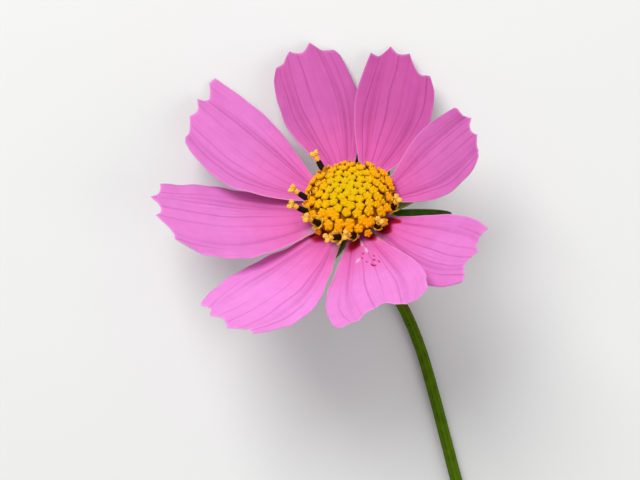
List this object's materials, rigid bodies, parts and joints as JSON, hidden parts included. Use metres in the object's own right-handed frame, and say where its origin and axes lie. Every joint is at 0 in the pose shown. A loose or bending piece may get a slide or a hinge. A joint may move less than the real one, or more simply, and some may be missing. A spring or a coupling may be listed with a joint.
{
  "type": "cosmos flower",
  "caption": "Picked garden cosmos: a ring of toothed pink ray petals round a golden floret disc, on two rings of bracts and a bent green stem, lying on a surface.",
  "frame": {"origin": "bottom centre of the bounding box, on the surface that the flower lies on", "axes": "+Z up, away from that surface; +Y along the picked flower from the cut end of the stem to the head; +X to the right, seen from above with +Y up"},
  "size_m": [0.0697, 0.1282, 0.048],
  "materials": {
    "petal": "soft satin pink petal with darker veins",
    "floret": "golden florets and pollen",
    "inner_bract": "papery grey-green bract",
    "outer_bract": "green leafy bract",
    "stem": "olive green plant stem with fine hairs"
  },
  "bodies": {
    "root": {"petal_1": "petal", "petal_2": "petal", "petal_3": "petal", "petal_4": "petal", "petal_5": "petal", "petal_6": "petal", "petal_7": "petal", "petal_8": "petal", "disc": "floret", "inner_bracts": "inner_bract", "outer_bracts": "outer_bract", "stem": "stem"}
  },
  "joints": []
}
